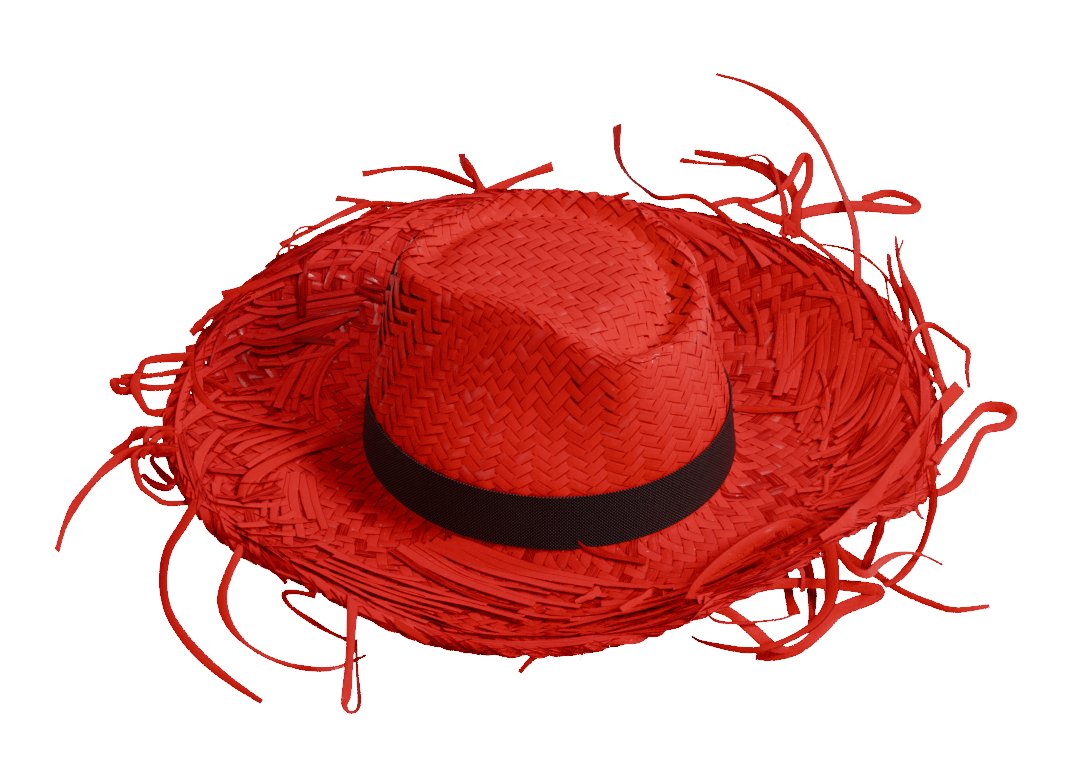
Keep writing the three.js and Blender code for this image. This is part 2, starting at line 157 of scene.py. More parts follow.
# Rounds a grid of points off. What it takes away is rounded too and given back, to keep the size
def softened(grid):
    soft = grid.copy()
    for _ in range(RIM_SOFTNESS):
        soft[1:-1] = (soft[:-2] + soft[1:-1] * 2 + soft[2:]) / 4
        soft = (np.roll(soft, 1, axis=1) + soft * 2 + np.roll(soft, -1, axis=1)) / 4
    return soft


# The upper skin, from the middle (0) over the foot of the crown (1) to the brim's edge (2)
def hat_skin():
    turn = np.arange(360.0)
    line = hat_knots(turn)
    mirrored = line[1] * [-1, 1]
    beyond = 2 * line[-1] - line[-2]
    line = np.concatenate([mirrored[None], line, beyond[None]])
    samples = [
        curve_through(*line[span:span + 4], step / SPAN_SAMPLES) if span != BAND_SPAN
        else line[span + 1] + (line[span + 2] - line[span + 1]) * step / SPAN_SAMPLES
        for span in range(SPANS) for step in range(SPAN_SAMPLES)
    ] + [line[-2]]
    path = np.stack(samples)
    steps = np.linalg.norm(np.diff(path, axis=0), axis=2)
    run = np.concatenate([np.zeros((1, 360)), np.cumsum(steps, axis=0)])
    foot = FOOT_SPAN * SPAN_SAMPLES
    lengths = run[foot].mean(), (run[-1] - run[foot]).mean()
    share = np.where(run <= run[foot], run / run[foot], 1 + (run - run[foot]) / (run[-1] - run[foot]))
    radius, rise = (
        np.stack([np.interp(SHARES, share[:, i], path[:, i, axis]) for i in range(360)], axis=1)
        for axis in (0, 1)
    )
    skin = placed(radius, turn, rise)
    soft = softened(skin)
    soft += softened(skin - soft)
    hard = np.clip((SHARES - SOFT_TO) / (HARD_FROM - SOFT_TO), 0, 1)[:, None, None]
    skin = soft + (skin - soft) * hard
    skin[..., 2] = np.maximum(skin[..., 2], LOWEST_SKIN)
    along = np.gradient(skin, axis=0)
    across = np.roll(skin, -1, axis=1) - np.roll(skin, 1, axis=1)
    normal = np.cross(along, across)
    normal[0] = (0, 0, 1)
    normal /= np.linalg.norm(normal, axis=-1, keepdims=True)
    return skin, normal, radius.mean(axis=1), lengths


skin_points, skin_normals, mean_radius, (crown_length, brim_length) = hat_skin()


# Points on the plait at a share of the way out, at a turn and at a height over its middle layer
def on_plait(share, turn, height=0.0):
    row = np.clip(share, 0, 1.99999) * SKIN_ROWS
    column = turn % 360
    row_low, column_low = np.floor(row).astype(int), np.floor(column).astype(int) % 360
    f, g = (row - row_low)[:, None], (column - np.floor(column))[:, None]

    def blended(grid):
        near = grid[row_low, column_low] * (1 - g) + grid[row_low, (column_low + 1) % 360] * g
        far = grid[row_low + 1, column_low] * (1 - g) + grid[row_low + 1, (column_low + 1) % 360] * g
        return near * (1 - f) + far * f

    normal = blended(skin_normals)
    normal /= np.linalg.norm(normal, axis=1, keepdims=True)
    lift = np.broadcast_to(height, share.shape)[:, None] - WALL / 2
    return blended(skin_points) + normal * lift, normal


# A flat strip with a low dome, along points with their normals, as a closed mesh part
SECTION = [(1, 0.2), (0.8, 0.75), (-0.8, 0.75), (-1, 0.2), (-1, -0.6), (1, -0.6)]
STRIP_EDGE, PLAIT_THICKNESS, LAID_THICKNESS = 48, 0.36, 0.3


def strip_part(points, normals, width, thickness=PLAIT_THICKNESS, roll=0.0, tone=0.5):
    tangent = np.gradient(points, axis=0)
    side = np.cross(normals, tangent)
    side /= np.linalg.norm(side, axis=1, keepdims=True)
    half = np.broadcast_to(width, len(points)) / 2
    tilt = np.broadcast_to(roll, len(points))
    rings = [
        points + side * (half * across)[:, None]
        + normals * (thickness * rise / 1.5 + tilt * across)[:, None]
        for across, rise in SECTION
    ]
    run = np.concatenate([[0], np.cumsum(np.linalg.norm(np.diff(points, axis=0), axis=1))])
    rings = np.stack(rings, axis=1)
    rings[..., 2] = np.maximum(rings[..., 2], LOWEST_POINT)
    return rings, run, tone


# The four-sided faces between rings of points that all have the same number of corners.
# With their own corners in the order of TURNED_OVER they face the other way
TURNED_OVER = [0, 3, 2, 1]


def ring_faces(rings, corners, closed=False):
    near = np.arange(rings if closed else rings - 1)[:, None] * corners
    far = (near + corners) % (rings * corners)
    corner = np.arange(corners)[None]
    after = (corner + 1) % corners
    return np.stack([near + corner, near + after, far + after, far + corner], axis=-1).reshape(-1, 4)


# A piece from points in millimetres round the hat's axis, with values at its points for the material
def mesh_piece(name, points, faces, values, material, sharp_from=None):
    mesh = bpy.data.meshes.new(name)
    mesh.from_pydata((points * MILLIMETRE + [*hat_axis, 0]).tolist(), [], faces)
    for label, numbers in values.items():
        mesh.attributes.new(label, "FLOAT", "POINT").data.foreach_set("value", numbers)
    mesh.shade_smooth()
    if sharp_from:
        mesh.set_sharp_from_angle(angle=radians(sharp_from))
    mesh.materials.append(material)
    piece = bpy.data.objects.new(name, mesh)
    bpy.context.scene.collection.objects.link(piece)
    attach(piece, "root")
    return piece


# Joins strip parts into one piece, with each point's place along and across its strip and its tone
def strip_piece(name, parts, material):
    corners = len(SECTION)
    points, run, across, tones, faces = [], [], [], [], []
    start = 0
    for rings, length, tone in parts:
        count = len(rings)
        points.append(rings.reshape(-1, 3))
        run.append(np.repeat(length, corners))
        across.append(np.tile([side for side, _ in SECTION], count))
        tones.append(np.full(count * corners, tone))
        faces.extend((start + ring_faces(count, corners)).tolist())
        faces.append(list(range(start + corners - 1, start - 1, -1)))
        faces.append(list(range(start + (count - 1) * corners, start + count * corners)))
        start += count * corners
    values = {"run": np.concatenate(run), "across": np.concatenate(across), "tone": np.concatenate(tones)}
    return mesh_piece(name, np.concatenate(points), faces, values, material, STRIP_EDGE)


# Node helpers for the materials
def add_node(tree, kind, **values):
    node = tree.nodes.new(kind)
    for name, value in values.items():
        setattr(node, name, value)
    return node


def wire(tree, source, target):
    tree.links.new(source, target)


# Feeds an input from a node's output, or with a fixed value
def feed(tree, value, target):
    if isinstance(value, bpy.types.NodeSocket):
        wire(tree, value, target)
    else:
        target.default_value = value


def times(tree, value, other):
    node = add_node(tree, "ShaderNodeMath", operation="MULTIPLY")
    feed(tree, value, node.inputs[0])
    feed(tree, other, node.inputs[1])
    return node.outputs[0]


def ramp(tree, value, low, high):
    node = add_node(tree, "ShaderNodeMapRange", interpolation_type="SMOOTHSTEP")
    wire(tree, value, node.inputs["Value"])
    node.inputs["From Min"].default_value = low
    node.inputs["From Max"].default_value = high
    return node.outputs["Result"]


def mixed(tree, share, first, second):
    node = add_node(tree, "ShaderNodeMix", data_type="RGBA")
    wire(tree, share, node.inputs["Factor"])
    feed(tree, first, node.inputs["A"])
    feed(tree, second, node.inputs["B"])
    return node.outputs["Result"]


def new_material(name):
    material = bpy.data.materials.new(name)
    material.use_nodes = True
    return material, material.node_tree, material.node_tree.nodes["Principled BSDF"]


# Adds fine relief to a material, from a height over its surface
def add_relief(tree, shader, height, strength, depth):
    relief = add_node(tree, "ShaderNodeBump")
    relief.inputs["Strength"].default_value = strength
    relief.inputs["Distance"].default_value = depth
    wire(tree, height, relief.inputs["Height"])
    wire(tree, relief.outputs["Normal"], shader.inputs["Normal"])


# Dyed palm leaf: fine fibres along the strip, blotchy dye, paler scuffs and a few bare specks, with painted
# shade darkening each strip's edges
FIBRE, BLOTCH, SPECK = (0.05, 7.0, 3.0), (0.045, 0.5, 2.0), (0.55, 1.7, 1.0)
TONE_SPREAD, LEAF_ROUGHNESS = 173.0, (0.34, 0.52)


def leaf_group():
    tree = bpy.data.node_groups.new("palm leaf", "ShaderNodeTree")
    socket = tree.interface.new_socket
    for name, kind, value in (
        ("Dye", "NodeSocketColor", (0.7, 0.01, 0.008, 1)), ("Deep Dye And Gap Shade", "NodeSocketColor", (0.3, 0.0, 0.0, 1)),
        ("Worn", "NodeSocketColor", (0.85, 0.12, 0.07, 1)), ("Bare", "NodeSocketColor", (0.9, 0.6, 0.4, 1)),
        ("Wear Share", "NodeSocketFloat", 0.5), ("Bare Share", "NodeSocketFloat", 0.2),
        ("Gap Shade Share", "NodeSocketFloat", 0.8), ("Varnish Share", "NodeSocketFloat", 0.22),
    ):
        socket(name, in_out="INPUT", socket_type=kind).default_value = value
    for name, kind in (("Colour", "NodeSocketColor"), ("Height", "NodeSocketFloat"),
                       ("Roughness", "NodeSocketFloat"), ("Varnish", "NodeSocketFloat")):
        socket(name, in_out="OUTPUT", socket_type=kind)
    given, result = tree.nodes.new("NodeGroupInput").outputs, tree.nodes.new("NodeGroupOutput").inputs
    run, across, tone = (
        add_node(tree, "ShaderNodeAttribute", attribute_name=name).outputs["Fac"]
        for name in ("run", "across", "tone")
    )

    def noise(along, sideways, detail):
        place = add_node(tree, "ShaderNodeCombineXYZ")
        for axis, (value, scale) in enumerate(((run, along), (across, sideways), (tone, TONE_SPREAD))):
            wire(tree, times(tree, value, scale), place.inputs[axis])
        node = add_node(tree, "ShaderNodeTexNoise")
        wire(tree, place.outputs[0], node.inputs["Vector"])
        node.inputs["Scale"].default_value = 1.0
        node.inputs["Detail"].default_value = detail
        return node.outputs["Fac"]

    fibre, blotch, speck = noise(*FIBRE), noise(*BLOTCH), noise(*SPECK)
    body = mixed(tree, ramp(tree, tone, 0.0, 0.6), given["Deep Dye And Gap Shade"], given["Dye"])
    streaked = mixed(tree, ramp(tree, fibre, 0.62, 0.3), body, given["Dye"])
    scuffs = times(tree, given["Wear Share"], ramp(tree, fibre, 0.3, 0.6))
    scuffed = mixed(tree, times(tree, ramp(tree, blotch, 0.45, 0.8), scuffs), streaked, given["Worn"])
    specks = times(tree, ramp(tree, speck, 0.74, 0.78), given["Bare Share"])
    bare = mixed(tree, specks, scuffed, given["Bare"])
    beside = add_node(tree, "ShaderNodeMath", operation="ABSOLUTE")
    wire(tree, across, beside.inputs[0])
    # Painted shade: near each strip's edges the colour turns to the deep red, for the dark gaps between strips
    rim = times(tree, ramp(tree, beside.outputs[0], 0.8, 1.0), given["Gap Shade Share"])
    roughness = add_node(tree, "ShaderNodeMapRange")
    wire(tree, blotch, roughness.inputs["Value"])
    roughness.inputs["To Min"].default_value, roughness.inputs["To Max"].default_value = LEAF_ROUGHNESS
    wire(tree, mixed(tree, rim, bare, given["Deep Dye And Gap Shade"]), result["Colour"])
    wire(tree, fibre, result["Height"])
    wire(tree, roughness.outputs["Result"], result["Roughness"])
    wire(tree, times(tree, ramp(tree, blotch, 0.57, 0.66), given["Varnish Share"]), result["Varnish"])
    return tree


palm_leaf = leaf_group()


def leaf_material(name, dye, deep, worn, wear, bare, varnish=0.3):
    material, tree, shader = new_material(name)
    leaf = add_node(tree, "ShaderNodeGroup", node_tree=palm_leaf)
    for label, value in (("Dye", (*dye, 1)), ("Deep Dye And Gap Shade", (*deep, 1)), ("Worn", (*worn, 1)),
                         ("Wear Share", wear), ("Bare Share", bare), ("Varnish Share", varnish)):
        leaf.inputs[label].default_value = value
    for label, target in (("Colour", "Base Color"), ("Roughness", "Roughness"), ("Varnish", "Coat Weight")):
        wire(tree, leaf.outputs[label], shader.inputs[target])
    add_relief(tree, shader, leaf.outputs["Height"], 0.2, 0.0004)
    shader.inputs["Specular IOR Level"].default_value = 0.15
    shader.inputs["Specular Tint"].default_value = (1.0, 0.10, 0.14, 1)
    shader.inputs["Coat Roughness"].default_value = 0.14
    return material


# The deep red is both the darkest strips' dye and the painted shade at the strips' edges
DYE, DEEP_DYE_AND_GAP_SHADE, WORN_DYE = (0.80, 0.0001, 0.012), (0.11, 0.0001, 0.002), (0.88, 0.012, 0.014)
plait_red = leaf_material("plaited red leaf", DYE, DEEP_DYE_AND_GAP_SHADE, WORN_DYE, wear=0.25, bare=0.08, varnish=0.35)

STRIP_WIDTH, STRIP_OVERLAP, PLAIT_HEIGHT, STRIP_ROLL = 5.5, 1.12, 0.4, 0.12
CROWN_STRIPS, CROWN_END, CROWN_TURN, SQUARE_FADE = 56, 0.93, 8.0, 12
SUB_STEPS = 2
OPEN_TURN, OPEN_SPREAD, OPEN_ROLL = 268, 42, 0.45
chance = np.random.default_rng(11)


# Shares of the way out at which the strips cross, for strips of one width and count
def crossing_rows(count, start, end, length):
    share = np.linspace(start, end, 800)
    radius = np.interp(share, SHARES, mean_radius)
    steepness = np.sqrt(np.maximum((radius * 2 * np.pi / (count * STRIP_WIDTH))**2 - 1, 0.12))
    slope = steepness / radius * length
    wound = np.concatenate([[0], np.cumsum((slope[1:] + slope[:-1]) / 2 * np.diff(share))])
    rows = np.arange(int(wound[-1] / (np.pi / count)) + 1)
    return np.interp(rows * np.pi / count, wound, share)


def crown_strip(family, index, rows):
    half, unit = CROWN_STRIPS / 4, STRIP_WIDTH / 2**0.5
    last = len(rows) - 1
    reach = int(2 * half + last) + 2
    place = np.arange(-reach * SUB_STEPS, reach * SUB_STEPS + 1) / SUB_STEPS
    x = place + index + 1 if family == "a" else index + place + 1
    y = index - place if family == "a" else place - index
    # Which side of the square the strip leaves by, at each end
    forward = np.where(index >= 0, 0, 3 if family == "a" else 1)
    backward_side = np.where(index >= 0, 1 if family == "a" else 3, 2)
    side = np.where(place >= -0.5, forward, backward_side)
    down = np.select([side == 0, side == 1, side == 2, side == 3], [x, y, -x, -y]) - half
    along = np.select([side == 0, side == 1, side == 2, side == 3],
                      [y, 2 * half - x, 4 * half - y, 6 * half + x])
    kept = down <= last
    x, y, down, along, place = x[kept], y[kept], down[kept], along[kept], place[kept]
    on_top = down <= 0
    # Flat over the middle of the top
    flat_reach = np.hypot(x, y) * unit
    flat_turn = np.degrees(np.arctan2(y, x))
    # Wound round the wall
    wall_side = np.floor((along + half) / (2 * half))
    rest = along - 2 * half * wall_side
    edge_reach = np.hypot(half, rest) * unit
    edge_turn = wall_side * 90 + np.degrees(np.arctan2(rest, half))
    row = np.maximum(down, 0)
    wound_reach = np.interp(row, np.arange(last + 1), rows) * crown_length
    wound_turn = along / (8 * half) * 360
    fade = np.clip(row / SQUARE_FADE, 0, 1)
    fade = fade * fade * (3 - 2 * fade)
    gap = (wound_turn - edge_turn + 180) % 360 - 180
    reach_out = np.where(on_top, flat_reach, (edge_reach + row * unit) * (1 - fade) + wound_reach * fade)
    turn = np.where(on_top, flat_turn, edge_turn + gap * fade)
    return reach_out / crown_length, turn, x, along, down, place


def crown_parts():
    half = CROWN_STRIPS / 4
    start = (1.0 + 2**0.5) / 2 * half * STRIP_WIDTH / 2**0.5 / crown_length
    rows = crossing_rows(CROWN_STRIPS, start, CROWN_END, crown_length)
    parts = []
    for family in ("a", "b"):
        for index in range(int(-half), int(half)):
            share, turn, x, along, down, place = crown_strip(family, index, rows)
            whole = np.abs(place - np.round(place)) < 0.01
            # Over or under at each crossing, then halfway values between them
            sides_up = np.where(family == "a", 1, -1)
            top_over = np.where((np.round(x) - 1) % 4 < 2, 1, -1) * sides_up
            going = np.gradient(along) * np.where(np.gradient(down) >= 0, 1, -1)
            wound = np.where(going > 0, 1, -1)
            wall_over = np.where((np.round(along) - 1) % 4 < 2, 1, -1) * wound
            over = np.where(down <= 0, top_over, wall_over).astype(float)
            over = np.interp(place, place[whole], over[whole])
            lift = over * PLAIT_HEIGHT + chance.normal(0, 0.04)
            points, normals = on_plait(share, turn + CROWN_TURN, lift)
            # The strips stand open on the crown's left side
            aside = (turn + CROWN_TURN - OPEN_TURN + 180) % 360 - 180
            opened = OPEN_ROLL * np.exp(-(aside / OPEN_SPREAD)**2) * np.clip(down / 6, 0, 1)
            parts.append(strip_part(
                points, normals, STRIP_WIDTH * STRIP_OVERLAP * chance.uniform(0.96, 1.03),
                roll=chance.normal(STRIP_ROLL, 0.07) + opened, tone=chance.uniform(0.42, 1),
            ))
    return parts


crown = strip_piece("crown_plait", crown_parts(), plait_red)


# Brim plait, from under the ribbon to the hem
# The brim is plaited on from the crown, with new strips spliced in half way out.
# Each ring has a name, a count of strips each way, and the shares of the way out where it starts and ends
BRIM_RINGS = [("inner_brim_plait", 100, 0.91, 1.53), ("outer_brim_plait", 144, 1.47, 1.995)]


def brim_parts(count, start, end):
    rows = crossing_rows(count, start, end, brim_length)
    last = len(rows) - 1
    place = np.arange(last * SUB_STEPS + 1) / SUB_STEPS
    share = np.interp(place, np.arange(last + 1), rows)
    parts = []
    for family in (1, -1):
        for index in range(count):
            column = 2 * index + 1 + family * place
            whole = np.abs(place - np.round(place)) < 0.01
            over = np.where((np.round(column) - 1) % 4 < 2, 1.0, -1.0) * family
            over = np.interp(place, place[whole], over[whole])
            lift = over * PLAIT_HEIGHT + chance.normal(0, 0.04)
            points, normals = on_plait(share, column * 180 / count, lift)
            parts.append(strip_part(
                points, normals, STRIP_WIDTH * STRIP_OVERLAP * chance.uniform(0.95, 1.03),
                roll=chance.normal(STRIP_ROLL, 0.07), tone=chance.uniform(0.1, 1),
            ))
    return parts


# The brim's red is a little darker than the crown's: painted shade for the dark gaps of its open weave
BRIM_SHADED_DYE, BRIM_DEEP_AND_SHADE, BRIM_WORN = (0.72, 0.0001, 0.012), (0.14, 0.0001, 0.003), (0.8, 0.006, 0.016)
brim_red = leaf_material("plaited dark red leaf", BRIM_SHADED_DYE, BRIM_DEEP_AND_SHADE, BRIM_WORN, wear=0.3, bare=0.3,
                         varnish=0.4)

for name, *ring in BRIM_RINGS:
    piece = strip_piece(name, brim_parts(*ring), brim_red)
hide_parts("plaited_crown")
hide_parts("plaited_brim")


# Inner layer of the plait
# Under each strip lie the strips that cross it, so no daylight shows through the hat.
LAYER_DEPTH, LAYER_THICKNESS, LAYER_ROWS, LAYER_COLUMNS = 0.1, 0.15, 110, 180
# Painted shade: the inner layer and the hem core take the brim's deepest red all through, as they lie under
# the strips
shaded_red = leaf_material("shaded red leaf", BRIM_DEEP_AND_SHADE, BRIM_DEEP_AND_SHADE, BRIM_SHADED_DYE, wear=0.1, bare=0)


def inner_layer():
    turn = np.tile(np.arange(LAYER_COLUMNS) * 360 / LAYER_COLUMNS, LAYER_ROWS)
    share = np.repeat(np.linspace(0.002, 1.99, LAYER_ROWS), LAYER_COLUMNS)
    skins = [on_plait(share, turn, side * LAYER_THICKNESS / 2 - LAYER_DEPTH)[0] for side in (1, -1)]
    upper = ring_faces(LAYER_ROWS, LAYER_COLUMNS)[:, TURNED_OVER]
    count = LAYER_ROWS * LAYER_COLUMNS
    faces = upper.tolist() + (upper[:, ::-1] + count).tolist()
    rim = count - LAYER_COLUMNS
    for i in range(LAYER_COLUMNS):
        j = (i + 1) % LAYER_COLUMNS
        faces.append([rim + i, count + rim + i, count + rim + j, rim + j])
        faces.append([j, count + j, count + i, i])
    values = {"run": np.tile(share, 2) * 90, "across": np.tile(np.radians(turn) * 20, 2),
              "tone": np.zeros(2 * count)}
    return mesh_piece("inner_layer", np.concatenate(skins), faces, values, shaded_red)


layer = inner_layer()


# Ribbon band
# A black woven ribbon is stretched round the foot of the crown and glued where its end laps over.
BAND_PITCH, BAND_THICKNESS, RIBBON_EDGE = 0.00175, 0.5, 50
RIBBON_GROUND, RIBBON_KNOT_SHEEN = (0.0022, 0.0008, 0.0012, 1), (0.11, 0.085, 0.09, 1)
LAP_TURN, LAP_LENGTH = 20, 16
BAND_STATIONS, BAND_ROWS, BAND_INSET, SELVEDGE = 420, 13, (0.6, 0.8), 0.12


def ribbon_material():
    material, tree, shader = new_material("black ribbon")
    waves = []
    for name in ("run", "up"):
        source = add_node(tree, "ShaderNodeAttribute", attribute_name=name)
        wave = add_node(tree, "ShaderNodeMath", operation="SINE")
        wire(tree, times(tree, source.outputs["Fac"], 2 * np.pi / BAND_PITCH), wave.inputs[0])
        waves.append(wave.outputs[0])
    weave = times(tree, *waves)
    # Painted sheen: the tops of the weave's knots are coloured paler than the black ground
    colour = mixed(tree, ramp(tree, weave, 0.35, 0.9), RIBBON_GROUND, RIBBON_KNOT_SHEEN)
    wire(tree, colour, shader.inputs["Base Color"])
    add_relief(tree, shader, weave, 0.6, 0.0003)
    shader.inputs["Roughness"].default_value = 0.6
    shader.inputs["Specular IOR Level"].default_value = 0.25
    return material


def ribbon_band():
    lap = np.degrees(LAP_LENGTH / (FOOT_WIDTH / 2))
    turn = np.linspace(LAP_TURN - lap / 2, LAP_TURN + 360 + lap / 2, BAND_STATIONS)
    over = np.clip((turn - (LAP_TURN + 360 - lap)) / (lap / 2), 0, 1)
    layer = 0.35 + over * 0.65
    rises = np.linspace(BAND_INSET[0], BAND_HEIGHT - BAND_INSET[1], BAND_ROWS)
    foot = oval(FOOT_LENGTH, FOOT_WIDTH, turn)
    slope = np.tan(np.radians(BAND_TAPER))
    wave = 0.10 * np.sin(np.radians(turn) * 9 + 1) + 0.07 * np.sin(np.radians(turn) * 17)

    def at(rise, out):
        radius = foot - rise * slope + layer + out
        return placed(radius, turn, FOOT_RISE + (rise + 0.25 * np.sin(np.radians(turn) * 5)))

    outer = [at(rise, BAND_THICKNESS + wave * np.sin(np.pi * rise / BAND_HEIGHT)
                + (SELVEDGE if rise in rises[[0, -1]] else 0)) for rise in rises]
    inner = [at(rise, 0 * turn) for rise in rises[::-1]]
    rings = np.stack(outer + inner, axis=1)
    sides = rings.shape[1]
    faces = ring_faces(BAND_STATIONS, sides)[:, TURNED_OVER].tolist()
    end = (BAND_STATIONS - 1) * sides
    for k in range(BAND_ROWS - 1):
        faces.append([k, k + 1, sides - 2 - k, sides - 1 - k])
        faces.append([end + sides - 1 - k, end + sides - 2 - k, end + k + 1, end + k])
    values = {
        "run": np.repeat(np.radians(turn - turn[0]) * 92 * MILLIMETRE, sides),
        "up": np.tile(np.concatenate([rises, rises[::-1]]) * MILLIMETRE, BAND_STATIONS),
    }
    return mesh_piece("ribbon_band", rings.reshape(-1, 3), faces, values, ribbon_material(), RIBBON_EDGE)


band = ribbon_band()
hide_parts("hat_band")


# Splice ends on the brim
# Where strips ran out, new ones were laid in, and both ends were left free on the upper side.
SPLICE_DYE, SPLICE_OUT, SPLICE_LENGTH, SPLICE_WIDTH = (0.78, 0.0001, 0.013), 48, 40, 5
splice_red = leaf_material("spliced red leaf", SPLICE_DYE, BRIM_DEEP_AND_SHADE, BRIM_WORN, wear=0.35, bare=0.15,
                           varnish=0.06)
# Fans of short ends: the turns of the first and the last one, how many there are, how far they point
# aside from straight outwards, the share of the full length, and the degrees that they bend by
FANS = [
    (296, 322, 10, 15, 1.0, 0), (250, 282, 8, 35, 0.9, 20), (190, 232, 8, 50, 0.8, 10),
    (130, 172, 8, 50, 0.8, 10), (82, 118, 12, 55, 1.0, 30), (5, 62, 10, 65, 0.9, 20),
]

# Rows of long ends: how many there are, their width, tone and height over the brim, and the ways
# that the first one and the last one lie in the photograph
LONG_ENDS = [
    (7, 5.4, 0.6, 1.0, [(777, 312), (779, 340), (777, 366), (768, 392)],
     [(828, 316), (825, 360), (814, 404), (798, 438)]),
    (11, 5.2, 0.6, 1.0, [(838, 318), (832, 362), (820, 402), (800, 438)],
     [(896, 388), (874, 430), (838, 452), (796, 464)]),
    (11, 5.2, 0.5, 1.0, [(903, 402), (876, 442), (838, 464), (796, 472)],
     [(905, 498), (868, 508), (828, 516), (786, 520)]),
    (8, 5.0, 0.7, 1.0, [(346, 338), (326, 360), (316, 390), (318, 426)],
     [(328, 330), (302, 356), (278, 388), (254, 420)]),
    (6, 5.4, 1.0, 1.0, [(274, 470), (268, 492), (262, 516), (256, 540)],
     [(308, 476), (315, 502), (323, 528), (333, 554)]),
    (4, 5.4, 1.0, 1.0, [(292, 415), (258, 422), (230, 438), (206, 462)],
     [(342, 437), (298, 452), (262, 474), (238, 502)]),
    (7, 5.4, 0.5, 1.0, [(342, 322), (306, 338), (264, 350), (226, 344)],
     [(372, 288), (318, 298), (270, 304), (230, 300)]),
    (8, 5.4, 0.7, 1.3, [(390, 545), (430, 576), (488, 600), (560, 618)],
     [(452, 538), (528, 566), (608, 582), (702, 586)]),
    (3, 5.4, 1.0, 2.1, [(292, 560), (340, 580), (398, 600), (446, 622)],
     [(318, 546), (372, 570), (436, 592), (508, 614)]),
    (6, 6.4, 1.0, 2.2, [(286, 572), (342, 596), (400, 617), (452, 633)],
     [(336, 556), (408, 584), (486, 608), (566, 627)]),
    (5, 5.6, 0.4, 2.2, [(560, 628), (630, 612), (700, 594), (762, 566)],
     [(600, 606), (680, 596), (756, 560), (822, 528)]),
]


# A level path that starts at a point and turns by some degrees in each equal piece of its length
def bent_line(start, direction, length, bends, steps):
    points = [np.array(start[:2], dtype=float)]
    for i in range(steps):
        piece = min(int((i + 0.5) / steps * len(bends)), len(bends) - 1)
        turned = bends[piece] * len(bends) / steps
        middle = radians(direction + turned / 2)
        points.append(points[-1] + length / steps * np.array([cos(middle), sin(middle)]))
        direction += turned
    return np.stack(points)


# Points lifted onto the plait's upper side, with the plait's normals
def laid(points, height):
    turn = np.degrees(np.arctan2(points[:, 1], points[:, 0])) % 360
    radius = np.hypot(points[:, 0], points[:, 1])
    reach = np.linalg.norm(skin_points[SKIN_ROWS:, :, :2], axis=-1)
    shares = np.arange(SKIN_ROWS + 1) / SKIN_ROWS
    share = np.array([1 + np.interp(r, reach[:, int(t) % 360], shares) for r, t in zip(radius, turn)])
    return on_plait(share, turn, height)


# The place at a height that the photograph shows at one of its pixels, in the hat's millimetres
PHOTO_AIM, PHOTO_FOCUS = (549, 437), 3906
sight = np.array(backward)
sight_right = np.array([cos(VIEW_TURN), sin(VIEW_TURN), 0])
sight_up = np.cross(sight, sight_right)


def under_pixel(pixel, height):
    ray = sight_right * (pixel[0] - PHOTO_AIM[0]) - sight_up * (pixel[1] - PHOTO_AIM[1]) - sight * PHOTO_FOCUS
    eye = sight * VIEW_DISTANCE * 1000 + [0, 0, AIM_HEIGHT]
    return eye + ray * (height - eye[2]) / ray[2]


def brim_height(place):
    turn, radius = np.degrees(np.arctan2(place[1], place[0])) % 360, np.hypot(place[0], place[1])
    low, high = (
        np.interp(radius, np.linalg.norm(line[:, :2], axis=1), line[:, 2])
        for line in (skin_points[SKIN_ROWS:, int(turn) % 360], skin_points[SKIN_ROWS:, (int(turn) + 1) % 360])
    )
    return low + (high - low) * (turn % 1)


# The highest place on the line of sight that touches the brim, or a clearance over it
def brim_under(pixel, clearance):
    above, gap_above = 72.0, 72.0
    for level in np.arange(70.0, -2.0, -2.0):
        gap = level - brim_height(under_pixel(pixel, level)) - clearance
        if gap <= 0:
            break
        above, gap_above = level, gap
    return under_pixel(pixel, above + (level - above) * gap_above / (gap_above - gap))


# A smooth line through points in space
def smooth_line(points, steps=8):
    points = np.asarray(points, dtype=float)
    ends = np.concatenate([[2 * points[0] - points[1]], points, [2 * points[-1] - points[-2]]])
    shares = np.arange(steps) / steps
    spans = [[curve_through(*ends[i:i + 4], f) for f in shares] for i in range(len(points) - 1)]
    return np.concatenate(spans + [points[-1:]])


# Normals across a line, turned from straight up towards the side that the hat is seen from
def facing_normals(line, twist):
    tangent = np.gradient(line, axis=0)
    tangent /= np.linalg.norm(tangent, axis=1, keepdims=True)
    flat = np.cross(tangent, np.cross(sight * 0.75 + [0, 0, 0.25], tangent))
    flat /= np.linalg.norm(flat, axis=1, keepdims=True)
    return flat * np.cos(twist)[:, None] + np.cross(tangent, flat) * np.sin(twist)[:, None]


